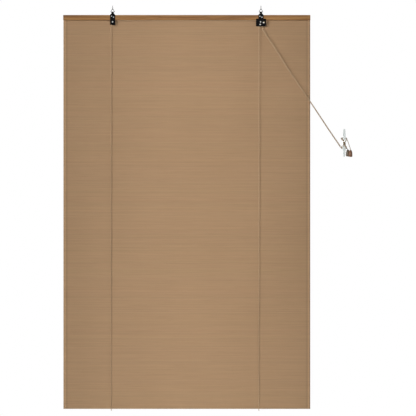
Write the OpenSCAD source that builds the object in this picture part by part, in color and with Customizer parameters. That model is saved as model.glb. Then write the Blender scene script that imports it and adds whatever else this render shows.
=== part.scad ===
// Bamboo roller blind: a reed mat under a wooden head rail, hung by two sheet steel hangers from
// rings and screw hooks, raised by two cords over sheaves, with a cord lock and a wall cleat.
// X runs along the head rail, Y points back to the wall and Z points up. The origin lies midway
// between the two hook screws, on the ceiling.

/* [Blind] */
// Width of the mat and the head rail
blind_w = 1000; // [760:10:1200]
// Drop from the top of the head rail to the hem
blind_h = 1595; // [900:5:2200]
// Distance between the two hangers
hang_span = 600; // [400:10:680]

/* [Mat] */
// Thickness of the mat over its reeds
mat_t = 2.4; // [1.8:0.1:4]
// Height of one reed with its groove
reed_pitch = 5; // [4:0.5:8]
// Depth of the groove between two reeds
groove_d = 0.7; // [0.3:0.1:0.8]
// Height of a reed's rounded flank
flank_h = 1.1; // [0.5:0.1:1.4]
// Distance between two warp threads
warp_pitch = 50; // [30:5:100]
// Width of a warp thread
warp_w = 1.6; // [0.8:0.1:3]
// Thickness of a warp thread
warp_t = 0.4; // [0.2:0.1:0.5]
// Distance from the mat's side to its first warp thread
warp_edge = 9; // [5:1:20]

/* [Head rail] */
// Height of the head rail
rail_h = 20; // [17:1:21]
// Depth of the head rail
rail_t = 12; // [11.6:0.2:16]
// Depth of the batten behind the mat
batten_t = 4; // [3:0.5:8]
// Radius of the eased long edges of the battens
ease_r = 1.5; // [0.5:0.1:1.8]
// Height of the rear batten's lip above the mat
lip_h = 8; // [6:0.5:9]
// Number of nails between the hangers
nail_count = 5; // [2:1:9]
// Diameter of a nail
nail_d = 1.8; // [1.2:0.1:2.4]
// Length of a nail under its head
nail_l = 14; // [10:1:16]
// Diameter of a nail's head
nail_head_d = 4.4; // [3:0.2:6]
// Height of the slat behind the hem
slat_h = 18; // [12:1:30]
// Depth of the slat behind the hem
slat_t = 5; // [4:0.5:8]

/* [Hangers] */
// Thickness of the sheet steel
plate_t = 1.2; // [0.8:0.1:1.4]
// Width of a hanger on the head rail
plate_w = 20.6; // [18:0.2:24]
// Reach of the left hanger below the head rail's top
plate_drop = 40; // [38:0.5:46]
// Width of the neck and its eye
neck_w = 9.6; // [7:0.2:10]
// Height of the eye above the head rail
eye_rise = 11.5; // [9:0.5:16]
// Height of the straight neck below the eye
neck_h = 5; // [3:0.5:6]
// Width of the folded strap behind the left sheave
strap_w = 13.6; // [12:0.2:14]
// Diameter of a hanger screw
screw_d = 2.2; // [1.6:0.1:3]
// Diameter of a hanger screw's head
screw_head_d = 4; // [3:0.2:5]
// Length of a hanger screw under its head
screw_l = 9; // [6:0.5:10]

/* [Rings and hooks] */
// Diameter of the ring's wire
ring_d = 2; // [1.6:0.1:2.2]
// Width of the ring between its lower corners
ring_w = 16.6; // [16:0.2:20]
// Height of the ring from its bar to the top corner
ring_h = 15.4; // [14:0.2:20]
// Diameter of the hook's wire
hook_d = 2.2; // [1.8:0.1:2.4]
// Radius of the hook's curl
curl_r = 4.1; // [3.6:0.1:6]
// Diameter of the hook's screw
hook_screw_d = 2.4; // [2:0.1:3]
// Length of the hook's screw
hook_screw_l = 7.5; // [6:0.5:30]

/* [Sheaves] */
// Diameter of the cords
cord_d = 2.4; // [1.8:0.1:2.6]
// Radius of a sheave to the middle of its cord
sheave_r = 6.5; // [6:0.1:6.8]
// Width of a sheave
sheave_w = 4.2; // [3.8:0.1:4.3]
// Height of a sheave's rim past the middle of the cord
rim_h = 0.8; // [0.4:0.1:1]
// Diameter of an axle
axle_d = 3.2; // [2.4:0.1:4]
// Diameter of a rivet's head
rivet_head_d = 5.6; // [4.4:0.2:6]
// Outer diameter of the bush on the left axle
bush_d = 5.2; // [4.6:0.2:7]

/* [Cord lock] */
// Reach of the lock plates to the left of the hanger's middle
lock_left = 20; // [17:0.5:24]
// Reach of the lock plates to the right of the hanger's middle
lock_right = 20.5; // [18:0.5:26]
// Top of the wide lock plate below the head rail's top
lock_top = 15; // [13:0.5:18]
// Bottom of the lock plates below the head rail's top
lock_drop = 45; // [43:0.5:50]
// Offset of the lock's axle from the hanger's middle
lock_axle_dx = -1.5; // [-3:0.1:0]
// Diameter of the lock roller
roller_d = 9.2; // [8:0.1:9.6]
// Number of ridges on the lock roller
roller_ridges = 24; // [14:1:36]
// Depth of the ridges on the lock roller
ridge_d = 0.45; // [0.2:0.05:0.6]
// Diameter of the lock roller's pin
pin_d = 3; // [2.4:0.1:3.4]
// Travel of the lock pin along its slots
pin_travel = 4; // [3:0.2:5]
// Slant of the slots from level
slot_angle = 60; // [45:1:75]
// Diameter of the spacer between the lock plates
spacer_d = 4; // [3:0.2:5]

/* [Cleat] */
// Length of the cleat over its horns
cleat_l = 114; // [90:1:140]
// Width of the cleat
cleat_w = 12; // [10:0.5:13]
// Width of a horn's end
cleat_end_w = 8; // [6:0.5:9]
// Height of the cleat's bar from the wall
cleat_h = 21; // [20:0.5:22]
// Thickness of the cleat's bar
cleat_bar_t = 8; // [7:0.5:8.5]
// Length of the cleat's foot
cleat_foot_l = 48; // [44:1:60]
// Thickness of the cleat's foot
cleat_foot_t = 4; // [3:0.5:5]
// Length of the cleat's post
cleat_post_l = 32; // [26:1:33]
// Distance between the cleat's screw holes
cleat_hole_pitch = 16; // [12:1:20]
// Diameter of the cleat's screw holes
cleat_hole_d = 4; // [3:0.2:4.4]
// Diameter of the countersink of the cleat's screw holes
cleat_sink_d = 7.6; // [6:0.2:8]

/* [Tassels] */
// Length of a tassel
tassel_l = 28; // [24:1:36]
// Largest diameter of a tassel
tassel_d = 15.6; // [12:0.2:15.8]
// Diameter of a tassel's top
tassel_top_d = 8; // [7:0.2:10]
// Diameter of the hollow in a tassel's foot
tassel_hollow_d = 7.2; // [6:0.2:8]
// Depth of the hollow in a tassel's foot
tassel_hollow_l = 11; // [8:0.5:14]
// Diameter of a cord's end knot
knot_d = 5.6; // [4.6:0.2:6]

/* [Hidden] */
$fn = 40;

// Clearances
run_gap = 0.06;
fixed_gap = 0.05;
side_gap = 0.4;
soft_gap = 0.3;
head_gap = 0.15;
bend_swell = 0.03;
side_lap = 0.15;
cut = 1;

// Heights, from the ceiling down
apex_bend = 2.4;
base_bend = 1.6;
apex_half = atan(ring_w / 2 / ring_h);
apex_dip = apex_bend / sin(apex_half) - apex_bend;
ring_top = ring_h - apex_dip;
hook_low = ring_top - (ring_d + hook_d) / 2 - soft_gap;
hook_neck = 1;
hook_knuckle = 0.2;
eye_z = -(hook_low + 2 * curl_r + hook_neck);
rail_z = eye_z - eye_rise;
hem_z = rail_z - blind_h;
axle_z = rail_z - rail_h - soft_gap - cord_d / 2 - sheave_r;

// Depths, from the hooks back to the wall
eye_r = ring_d / 2 + run_gap;
plate_y = -(eye_r + plate_t);
plate_back = plate_y + plate_t;
front_sheave_y = plate_back + side_gap + sheave_w / 2;
rear_sheave_y = front_sheave_y + sheave_w + side_gap;
rear_plate_y = rear_sheave_y + sheave_w / 2 + side_gap;
rear_plate_back = rear_plate_y + plate_t;
mat_y = plate_back + rail_t;
mat_back = mat_y + mat_t;
batten_back = mat_back + batten_t;
slat_back = mat_back + slat_t;
wall_gap = 30;

// Places along the rail
left_x = -hang_span / 2;
right_x = hang_span / 2;
lock_axle_x = right_x + lock_axle_dx;
left_strand_x = left_x - sheave_r;
right_strand_x = lock_axle_x - sheave_r;
exit_x = lock_axle_x + sheave_r;
exit_z = rail_z - lock_drop - cut;
roller_x = exit_x + (cord_d + roller_d) / 2 + soft_gap;
roller_z = axle_z - 3.4;
spacer_dx = -1.5;
spacer_dz = -(sheave_r + rim_h + spacer_d / 2 + 1.2);
screw_places = [[-4, -4.8], [4, -8.8]];
rivet_head_h = 1.1;
rivet_tail_d = 4.6;
rivet_tail_h = 0.5;
corner_r = 2.5;
relief_w = 0.6;
slot_w = 0.6;
slot_depth = 0.5;
slot_turns = [25, -40];

// Mat
reed_count = floor((blind_h - rail_h) / reed_pitch);
reed_top = hem_z + reed_count * reed_pitch;
warp_half = floor((blind_w / 2 - 1.5 * warp_edge) / warp_pitch - 0.5);
warp_places = concat(
    [for (i = [0:warp_half], s = [-1, 1]) s * (i + 0.5) * warp_pitch],
    [for (s = [-1, 1]) s * (blind_w / 2 - warp_edge)]
);
nail_edge = 60;
nail_clear = 30;

// Cords
cord_r = cord_d / 2;
cord_sides = 8;
hem_front_y = mat_y - cord_r - soft_gap - warp_t;
hem_back_y = slat_back + cord_r + soft_gap;
hem_turn_r = (hem_back_y - hem_front_y) / 2;
hem_turn_y = (hem_back_y + hem_front_y) / 2;
hem_turn_z = hem_z - 2.2;
anchor_y = batten_back + cord_r + soft_gap;
anchor_z = rail_z - 6;
staple_z = rail_z - 12;
staple_d = 1.2;
staple_half = cord_r + soft_gap + staple_d / 2;
staple_leg = 3;

// Cleat and tassels
cleat_x = right_x + 338;
cleat_z = rail_z - 517;
cleat_y = wall_gap;
left_tassel_at = [cleat_x + 15.5, wall_gap - 9, cleat_z - 27];
right_tassel_at = [cleat_x + 25, wall_gap - 22.5, cleat_z - 29];
tassel_cord_l = tassel_l - tassel_hollow_l;

// Points of an arc about a centre, between two angles, in a plane given by two directions
function arc(c, r, a0, a1, n, u, v) =
    [for (i = [0:n]) let(a = a0 + (a1 - a0) * i / n) c + r * cos(a) * u + r * sin(a) * v];

X = [1, 0, 0];
Y = [0, 1, 0];
Z = [0, 0, 1];
left_lift_route = concat(
    [[left_strand_x, anchor_y, anchor_z]],
    arc([left_strand_x, hem_turn_y, hem_turn_z], hem_turn_r, 0, -180, 8, Y, Z),
    arc([left_x, rear_sheave_y, axle_z], sheave_r, 180, 90, 5, X, Z),
    arc([lock_axle_x, rear_sheave_y, axle_z], sheave_r, 90, 0, 5, X, Z),
    [[exit_x, rear_sheave_y, exit_z]]
);
right_lift_route = concat(
    [[right_strand_x, anchor_y, anchor_z]],
    arc([right_strand_x, hem_turn_y, hem_turn_z], hem_turn_r, 0, -180, 8, Y, Z),
    arc([lock_axle_x, front_sheave_y, axle_z], sheave_r, 180, 0, 10, X, Z),
    [[exit_x, front_sheave_y, exit_z]]
);

// The free cords hang from the lock to the cleat, go round its horns and end in the tassels.
// Each point is given from the lock's exit or from the middle of the cleat's foot on the wall.
function from_exit(y, points) = [for (p = points) [exit_x, y, exit_z] + p];
function from_cleat(points) = [for (p = points) [cleat_x, cleat_y, cleat_z] + p];
right_pull_route = concat(
    from_exit(front_sheave_y, [
        [0, 0, -soft_gap], [0.3, 0, -4], [1.8, 0.2, -9], [5, 0.5, -15], [54, 1, -89], [99, 2, -161],
        [200, 3, -310]
    ]),
    from_cleat([
        [-64, -17, 58], [-20, -10.5, -5], [-13, -9.7, -14], [-8, -9.5, -17.2], [0, -9.5, -18],
        [4, -9.7, -18], [8, -11.5, -18], [9.8, -15.5, -17.6], [9.2, -21.6, -16], [5, -22.8, -11.5],
        [0, -22.8, 0], [-5, -22.8, 11.5], [-9.2, -21.6, 16], [-9.8, -15.5, 17.6],
        [-8, -11.5, 18], [-4, -9.7, 18], [4, -9.7, 18], [9, -10.6, 16.5], [13, -13, 11],
        [17, -16.5, 0], [21, -20, -14], [24, -22, -23]
    ]),
    [right_tassel_at, right_tassel_at - tassel_cord_l * Z]
);
left_pull_route = concat(
    from_exit(rear_sheave_y, [
        [0, 0, -soft_gap], [0.1, 0, -5], [1, 0, -11], [4, 0, -17.5], [52.5, 0.3, -91], [97.5, 0.5, -163],
        [198.5, 1.6, -312]
    ]),
    from_cleat([
        [-65.5, -14, 56], [-21.5, -10.2, -8], [-15, -9.6, -17], [-8, -9.5, -20.2], [0, -9.5, -20.8],
        [4, -9.7, -20.8], [8, -11.5, -20.8], [10.4, -15.5, -20.4], [9.2, -21.7, -19.3],
        [4.8, -22.9, -16.5], [2.4, -22.9, -12.6], [-2.6, -22.7, -1.1], [-7.9, -22.5, 10.2],
        [-12.2, -20.8, 15.6], [-12.5, -15.5, 19.2], [-9.6, -11.4, 20.7], [-4, -9.7, 20.9], [4, -9.7, 20.9],
        [8, -11.6, 20.5], [10.6, -16.5, 18], [10, -22, 14], [6.5, -25, 8], [0, -25.6, -1],
        [-7.4, -24.4, -13], [-10.8, -20, -19], [-11.4, -15.5, -22], [-8.6, -11.2, -23.4],
        [-4, -9.6, -23.7], [4, -9.2, -23.7], [10, -9.1, -23], [14, -9, -24]
    ]),
    [left_tassel_at, left_tassel_at - tassel_cord_l * Z]
);

function unit(v) = v / norm(v);
function heading(p, i) = unit(
    (i > 0 ? unit(p[i] - p[i - 1]) : [0, 0, 0])
    + (i < len(p) - 1 ? unit(p[i + 1] - p[i]) : [0, 0, 0])
);

// A round tube swept along a list of points
module tube(points, r) {
    slant = [0.5, 0.5, 0.7];
    n = cord_sides;
    rings = [for (i = [0:len(points) - 1])
        let(t = heading(points, i), u = unit(cross(t, slant)), v = cross(t, u))
        for (k = [0:n - 1]) points[i] + r * (cos(360 * k / n) * u + sin(360 * k / n) * v)];
    last = n * (len(points) - 1);
    polyhedron(rings, concat(
        [[for (k = [0:n - 1]) k]],
        [[for (k = [n - 1:-1:0]) last + k]],
        [for (i = [0:len(points) - 2], k = [0:n - 1])
            let(a = i * n + k, b = i * n + (k + 1) % n)
            [a, a + n, b + n, b]]
    ));
}

// A plate that lies in the XZ plane, from a depth y backwards
module sheet(y, t) {
    translate([0, y + t, 0]) rotate([90, 0, 0]) linear_extrude(t) children();
}

// A bar that runs along X, from its section in the YZ plane
module bar(length) {
    rotate([90, 0, 90]) linear_extrude(length, center = true) children();
}

// A rod that runs back along Y
module rod(at, d, length) {
    translate(at) rotate([-90, 0, 0]) cylinder(d = d, h = length);
}

// A rectangle with round corners, from its lower left corner
module round_rect(w, h, r) {
    translate([r, 0]) square([w - 2 * r, h]);
    translate([0, r]) square([w, h - 2 * r]);
    for (x = [r, w - r], y = [r, h - r]) translate([x, y]) circle(r);
}

// A domed head on the front of a plate, with its flat side at y
module dome(at, d, h) {
    ball = (d * d / 4 + h * h) / (2 * h);
    translate(at) rotate([90, 0, 0]) rotate_extrude() intersection() {
        translate([0, h - ball]) circle(ball);
        square([d / 2, h]);
    }
}

// A rivet through the plates, with a domed head in front and a flat tail behind
module rivet(x, z, d, tail_y) {
    dome([x, plate_y, z], rivet_head_d, rivet_head_h);
    rod([x, plate_y, z], d, tail_y + rivet_tail_h - plate_y);
    rod([x, tail_y, z], rivet_tail_d, rivet_tail_h);
}

// Screw hooks and rings
module hook(x) {
    open_a = 110;
    point_l = 2.5;
    curl_z = eye_z + hook_low + curl_r;
    color("gray") translate([x, 0, 0]) {
        translate([0, 0, curl_z]) rotate([0, 90, 0]) rotate([0, 0, -open_a]) {
            rotate_extrude(angle = 180 + open_a) translate([curl_r, 0]) circle(d = hook_d);
            translate([curl_r, 0, 0]) sphere(d = hook_d);
        }
        translate([0, 0, curl_z + curl_r]) {
            sphere(d = hook_d + 2 * hook_knuckle);
            cylinder(d = hook_d, h = cut - curl_z - curl_r);
        }
        cylinder(d = hook_screw_d, h = hook_screw_l - point_l);
        translate([0, 0, hook_screw_l - point_l])
            cylinder(d1 = hook_screw_d, d2 = hook_screw_d / 6, h = point_l);
    }
}
module left_hook() { hook(left_x); }
module right_hook() { hook(right_x); }

// A corner of the ring where its wire turns left, a hair thicker than the straight wire
module wire_bend(at, into, turn, r) {
    translate([at[0], 0, at[1]]) rotate([0, -into, 0]) translate([-r * tan(turn / 2), 0, r])
        rotate([90, 0, 0]) rotate([0, 0, -90]) rotate_extrude(angle = turn)
            translate([r, 0]) circle(d = ring_d + 2 * bend_swell);
}
// A straight side of the ring between two corners, lapped into the bends at both ends
module wire_side(a, b, back_a, back_b) {
    along = unit(b - a);
    start = a + along * (back_a - side_lap);
    translate([start[0], 0, start[1]]) rotate([0, 90 - atan2(along[1], along[0]), 0])
        cylinder(d = ring_d, h = norm(b - a) - back_a - back_b + 2 * side_lap);
}
module ring(x) {
    base_turn = 90 + apex_half;
    apex_turn = 180 - 2 * apex_half;
    base_back = base_bend * tan(base_turn / 2);
    apex_back = apex_bend * tan(apex_turn / 2);
    right = [ring_w / 2, 0];
    left = [-ring_w / 2, 0];
    top = [0, ring_h];
    color("darkgray") translate([x, 0, eye_z]) {
        wire_side(left, right, base_back, base_back);
        wire_bend(right, 0, base_turn, base_bend);
        wire_side(right, top, base_back, apex_back);
        wire_bend(top, base_turn, apex_turn, apex_bend);
        wire_side(top, left, apex_back, base_back);
        wire_bend(left, base_turn + apex_turn, base_turn, base_bend);
    }
}
module left_ring() { ring(left_x); }
module right_ring() { ring(right_x); }

// Wall cleat
module cleat_side() {
    half = cleat_l / 2;
    steps = 8;
    rear = cleat_h - cleat_bar_t;
    lift = 5;
    root = cleat_post_l / 2 + 2;
    horn = [for (i = [0:steps]) let(s = i / steps) [root + (half - 1 - root) * s, rear + lift * s * s]];
    front = [for (i = [steps:-1:0]) let(s = i / steps) [half * s, cleat_h + 1.5 * s * s - s * s * s * 2]];
    side = concat(
        [[0, 0], [cleat_foot_l / 2, 0], [cleat_foot_l / 2, cleat_foot_t - 1],
         [cleat_foot_l / 2 - 1, cleat_foot_t], [cleat_post_l / 2 + 2, cleat_foot_t + 0.8],
         [cleat_post_l / 2, cleat_foot_t + 2.5], [cleat_post_l / 2, rear - 1.6]],
        horn, front
    );
    polygon(concat(side, [for (i = [len(side) - 2:-1:1]) [-side[i][0], side[i][1]]]));
}
module cleat_face() {
    end_r = cleat_end_w / 2;
    straight = cleat_l / 2 - end_r;
    steps = 6;
    side = [for (i = [steps - 1:-1:1 - steps]) let(s = i / steps)
        [straight * s, cleat_w / 2 - (cleat_w - cleat_end_w) / 2 * s * s]];
    end = [for (i = [-steps:steps]) let(a = 90 * i / steps) [straight + end_r * cos(a), end_r * sin(a)]];
    polygon(concat(end, side, -end, -side));
}
module cleat() {
    sink = (cleat_sink_d - cleat_hole_d) / 2;
    color("whitesmoke") translate([cleat_x, cleat_y, cleat_z]) rotate([90, 90, 0]) difference() {
        intersection() {
            rotate([90, 0, 0]) linear_extrude(cleat_w + cut, center = true) cleat_side();
            translate([0, 0, -cut]) linear_extrude(cleat_h + 2 * cut) cleat_face();
        }
        for (s = [-1, 1]) translate([s * cleat_hole_pitch / 2, 0, 0]) {
            translate([0, 0, -cut]) cylinder(d = cleat_hole_d, h = cleat_h + 2 * cut);
            translate([0, 0, cleat_h - sink])
                cylinder(d1 = cleat_hole_d, d2 = cleat_sink_d + 2 * cut, h = sink + cut);
        }
    }
}

// Turned wooden tassels with the cord's knot in the hollow foot
module tassel(at) {
    belly = 0.42 * tassel_l;
    color("saddlebrown") translate(at - [0, 0, tassel_l]) difference() {
        rotate_extrude() {
            polygon(concat(
                [[0, 0], [tassel_d / 2 - 1.6, 0]],
                [for (i = [0:5]) let(a = -90 + 18 * i)
                    [tassel_d / 2 - 1.6 + 1.6 * cos(a), 1.6 + 1.6 * sin(a)]],
                [for (i = [0:10]) let(s = i / 10)
                    [tassel_top_d / 2 + (tassel_d - tassel_top_d) / 2 * (1 - s * s),
                     belly + (tassel_l - belly - 1) * s]],
                [[tassel_top_d / 2 - 1, tassel_l], [0, tassel_l]]
            ));
        }
        translate([0, 0, -cut]) cylinder(d = cord_d + 2 * soft_gap, h = tassel_l + 2 * cut);
        translate([0, 0, -cut]) cylinder(d = tassel_hollow_d, h = tassel_hollow_l + cut);
    }
}
module left_tassel() { tassel(left_tassel_at); }
module right_tassel() { tassel(right_tassel_at); }
module tassel_knots() {
    color("tan") for (at = [left_tassel_at, right_tassel_at])
        translate(at - (tassel_cord_l + sqrt(knot_d * knot_d / 4 - cord_r * cord_r)) * Z) difference() {
            sphere(d = knot_d);
            translate([0, 0, knot_d / 2 + sqrt(knot_d * knot_d / 4 - cord_r * cord_r)])
                cube(knot_d, center = true);
        }
}

// Cords
module left_pull_cord() { color("burlywood") tube(left_pull_route, cord_r); }
module right_pull_cord() { color("burlywood") tube(right_pull_route, cord_r); }
module left_lift_cord() { color("burlywood") tube(left_lift_route, cord_r); }
module right_lift_cord() { color("burlywood") tube(right_lift_route, cord_r); }

// Head rail, rear batten and nails
nail_pitch = (right_strand_x - left_strand_x - 2 * nail_clear) / (nail_count - 1);
nail_places = concat(
    [nail_edge - blind_w / 2, left_strand_x - nail_clear],
    [for (i = [0:nail_count - 1]) left_strand_x + nail_clear + i * nail_pitch],
    [right_strand_x + nail_clear, blind_w / 2 - nail_edge]
);
nail_z = rail_z - lip_h / 2;
module nail_holes() {
    d = nail_d + 2 * fixed_gap;
    for (x = nail_places) rod([x, batten_back - nail_l - fixed_gap, nail_z], d, nail_l + cut);
}
module screw_holes(x, y, length) {
    for (p = screw_places) rod([x + p[0], y, rail_z + p[1]], screw_d + 2 * fixed_gap, length);
}
module headrail() {
    color("peru") difference() {
        bar(blind_w) translate([plate_back, rail_z - rail_h]) round_rect(rail_t, rail_h, ease_r);
        nail_holes();
        for (x = [left_x, right_x]) screw_holes(x, plate_back - cut, screw_l - plate_t + cut + fixed_gap);
    }
}
module rear_batten() {
    color("peru") difference() {
        bar(blind_w) difference() {
            translate([mat_y, rail_z - rail_h]) round_rect(mat_t + batten_t, rail_h, ease_r);
            translate([mat_y - cut, rail_z - rail_h - cut]) square([mat_t + cut, rail_h - lip_h + cut]);
        }
        nail_holes();
        for (x = [left_strand_x, right_strand_x]) staple(x, fixed_gap);
    }
}
module batten_nails() {
    head_h = 0.8;
    color("gray") for (x = nail_places) {
        rod([x, batten_back - nail_l, nail_z], nail_d, nail_l);
        rod([x, batten_back, nail_z], nail_head_d, head_h);
    }
}
// A staple of flat wire, its legs in the batten and its crown over a cord, grown by a gap
module staple(x, gap) {
    outer = staple_half + staple_d / 2 + gap;
    inner = staple_half - staple_d / 2 - gap;
    crown_y = anchor_y + cord_r + soft_gap;
    leg_y = batten_back - staple_leg - gap;
    translate([x, 0, staple_z - staple_d / 2 - gap]) linear_extrude(staple_d + 2 * gap) difference() {
        translate([-outer, leg_y]) square([2 * outer, crown_y + staple_d - leg_y]);
        translate([-inner, leg_y - cut]) square([2 * inner, crown_y - leg_y + cut]);
    }
}
module cord_staples() {
    color("gray") for (x = [left_strand_x, right_strand_x]) staple(x, 0);
}
module cord_knots() {
    rise = sqrt(knot_d * knot_d / 4 - cord_r * cord_r);
    color("tan") for (x = [left_strand_x, right_strand_x])
        translate([x, anchor_y, anchor_z + rise]) difference() {
            sphere(d = knot_d);
            translate([0, 0, -rise - knot_d / 2]) cube(knot_d, center = true);
            translate([0, batten_back - anchor_y - knot_d / 2, 0]) cube(knot_d, center = true);
        }
}

// Reed mat, warp threads and the slat behind the hem
module reed_mat() {
    front = [for (i = [0:reed_count - 1]) let(z = reed_top - i * reed_pitch)
        each [[mat_y + groove_d, z], [mat_y, z - flank_h], [mat_y, z - reed_pitch + flank_h]]];
    back = [for (i = [reed_count - 1:-1:0]) let(z = reed_top - i * reed_pitch)
        each [[mat_back, z - reed_pitch + flank_h], [mat_back, z - flank_h], [mat_back - groove_d, z]]];
    hem = [[mat_y + groove_d, hem_z], [mat_back - groove_d, hem_z]];
    head_z = rail_z - lip_h;
    head = [[mat_back, reed_top], [mat_back, head_z], [mat_y, head_z], [mat_y, reed_top]];
    color("tan") bar(blind_w) polygon(concat(front, hem, back, head));
}
module warp_threads() {
    top = rail_z - rail_h - 2;
    color("wheat") for (x = warp_places) {
        translate([x - warp_w / 2, mat_y - warp_t, hem_z + reed_pitch])
            cube([warp_w, warp_t, top - hem_z - reed_pitch]);
        translate([x - warp_w / 2, mat_back, hem_z + slat_h + reed_pitch])
            cube([warp_w, warp_t, top - hem_z - slat_h - reed_pitch]);
    }
}
module bottom_slat() {
    color("peru") bar(blind_w) translate([mat_back, hem_z]) round_rect(slat_t, slat_h, ease_r);
}

// Sheet steel hangers
module hanger_face(x) {
    translate([x, 0]) polygon([
        [-neck_w / 2, eye_z - eye_r / 2], [neck_w / 2, eye_z - eye_r / 2],
        [neck_w / 2, eye_z - neck_h], [plate_w / 2, rail_z + 0.5],
        [plate_w / 2, rail_z - lock_top - corner_r], [-plate_w / 2, rail_z - lock_top - corner_r],
        [-plate_w / 2, rail_z + 0.5], [-neck_w / 2, eye_z - neck_h]
    ]);
}
module eye(x) {
    translate([x - neck_w / 2, 0, eye_z]) rotate([0, 90, 0]) cylinder(r = eye_r + plate_t, h = neck_w);
}
module eye_bore(x) {
    translate([x - neck_w / 2 - cut, 0, eye_z]) rotate([0, 90, 0]) cylinder(r = eye_r, h = neck_w + 2 * cut);
}
module strap_fold() {
    depth = rear_plate_back - plate_y;
    bend = 2 * plate_t;
    floor_z = rail_z - plate_drop;
    top_z = rail_z - rail_h - 1;
    difference() {
        union() {
            translate([plate_y + bend, floor_z]) square([depth - 2 * bend, plate_t]);
            for (y = [plate_y + bend, rear_plate_back - bend]) translate([y, floor_z + bend]) circle(bend);
            translate([rear_plate_y, floor_z + bend]) square([plate_t, top_z - floor_z - bend]);
        }
        translate([plate_y + bend, floor_z + bend]) circle(plate_t);
        translate([rear_plate_back - bend, floor_z + bend]) circle(plate_t);
        translate([plate_y + bend, floor_z + plate_t]) square([depth - 2 * bend, bend]);
        translate([plate_y + plate_t, floor_z + bend]) square([depth - 2 * plate_t, bend]);
    }
}
module left_hanger() {
    strap_x = left_x + plate_w / 2 - strap_w;
    color("black") difference() {
        union() {
            sheet(plate_y, plate_t) {
                hanger_face(left_x);
                translate([left_x - plate_w / 2, rail_z - plate_drop + 2 * plate_t])
                    square([plate_w, plate_drop - lock_top]);
                translate([left_x - plate_w / 2, rail_z - plate_drop])
                    square([plate_w - strap_w - relief_w, plate_drop - lock_top]);
            }
            eye(left_x);
            translate([strap_x + strap_w / 2, 0, 0]) bar(strap_w) strap_fold();
        }
        eye_bore(left_x);
        screw_holes(left_x, plate_y - cut, plate_t + 2 * cut);
        rod([left_x, plate_y - cut, axle_z], axle_d + 2 * fixed_gap, rear_plate_back - plate_y + 2 * cut);
    }
}
module hanger_screws(x) {
    head_h = 1;
    color("silver") for (i = [0, 1]) let(p = screw_places[i]) translate([x + p[0], plate_y, rail_z + p[1]]) {
        difference() {
            dome([0, 0, 0], screw_head_d, head_h);
            rotate([0, slot_turns[i], 0]) translate([0, slot_depth - head_h - cut / 2, 0])
                cube([2 * screw_head_d, cut, slot_w], center = true);
        }
        rod([0, 0, 0], screw_d, screw_l);
    }
}
module left_hanger_screws() { hanger_screws(left_x); }
module lock_screws() { hanger_screws(right_x); }
module left_axle() { color("silver") rivet(left_x, axle_z, axle_d, rear_plate_back); }
module left_axle_bush() {
    length = rear_sheave_y - sheave_w / 2 - side_gap - plate_back;
    color("silver") difference() {
        rod([left_x, plate_back, axle_z], bush_d, length);
        rod([left_x, plate_back - cut, axle_z], axle_d + 2 * fixed_gap, length + 2 * cut);
    }
}

// Grooved sheaves
module sheave(x, y) {
    rim_r = sheave_r + rim_h;
    groove_r = cord_r + soft_gap;
    color("dimgray") translate([x, y, axle_z]) rotate([90, 0, 0]) rotate_extrude() difference() {
        translate([axle_d / 2 + run_gap, -sheave_w / 2]) square([rim_r - axle_d / 2 - run_gap, sheave_w]);
        translate([sheave_r, 0]) circle(groove_r);
        translate([sheave_r, -groove_r]) square([rim_r, 2 * groove_r]);
    }
}
module left_sheave() { sheave(left_x, rear_sheave_y); }
module front_sheave() { sheave(lock_axle_x, front_sheave_y); }
module rear_sheave() { sheave(lock_axle_x, rear_sheave_y); }

// Cord lock
spacer_at = [lock_axle_x + spacer_dx, axle_z + spacer_dz];
spacer_neck_d = spacer_d - 1.4;
module lock_bores() {
    depth = rear_plate_back - plate_y + 2 * cut;
    rod([lock_axle_x, plate_y - cut, axle_z], axle_d + 2 * fixed_gap, depth);
    rod([spacer_at[0], plate_y - cut, spacer_at[1]], spacer_neck_d + 2 * fixed_gap, depth);
    translate([roller_x, plate_y - cut, roller_z]) rotate([0, -slot_angle, 0]) {
        slot_d = pin_d + 2 * run_gap;
        for (s = [0, pin_travel]) rod([s, 0, 0], slot_d, depth);
        translate([0, 0, -slot_d / 2]) cube([pin_travel, depth, slot_d]);
    }
}
module lock_face(top) {
    translate([right_x - lock_left, rail_z - lock_drop])
        round_rect(lock_left + lock_right, lock_drop - top, corner_r);
}
module lock_front_plate() {
    color("black") difference() {
        union() {
            sheet(plate_y, plate_t) {
                hanger_face(right_x);
                lock_face(lock_top);
            }
            eye(right_x);
        }
        eye_bore(right_x);
        screw_holes(right_x, plate_y - cut, plate_t + 2 * cut);
        lock_bores();
    }
}
module lock_rear_plate() {
    color("black") difference() {
        sheet(rear_plate_y, plate_t) lock_face(rail_h + 1);
        lock_bores();
    }
}
module sheave_axle() { color("silver") rivet(lock_axle_x, axle_z, axle_d, rear_plate_back); }
module lock_spacer() {
    color("silver") {
        rivet(spacer_at[0], spacer_at[1], spacer_neck_d, rear_plate_back);
        rod([spacer_at[0], plate_back, spacer_at[1]], spacer_d, rear_plate_y - plate_back);
    }
}
module lock_pin() {
    head_h = 0.8;
    tail_h = 0.4;
    color("silver") translate([roller_x, 0, roller_z]) {
        dome([0, plate_y - head_gap, 0], rivet_head_d, head_h);
        rod([0, plate_y - head_gap, 0], pin_d, rear_plate_back - plate_y + 2 * head_gap);
        rod([0, rear_plate_back + head_gap, 0], rivet_tail_d, tail_h);
    }
}
module lock_roller() {
    length = rear_plate_y - plate_back - 2 * side_gap;
    color("goldenrod") translate([roller_x, plate_back + side_gap + length, roller_z]) rotate([90, 0, 0])
        linear_extrude(length) difference() {
            polygon([for (i = [0:2 * roller_ridges - 1])
                let(r = roller_d / 2 - (i % 2) * ridge_d, a = 180 * i / roller_ridges)
                [r * cos(a), r * sin(a)]]);
            circle(d = pin_d + 2 * run_gap);
        }
}

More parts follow.
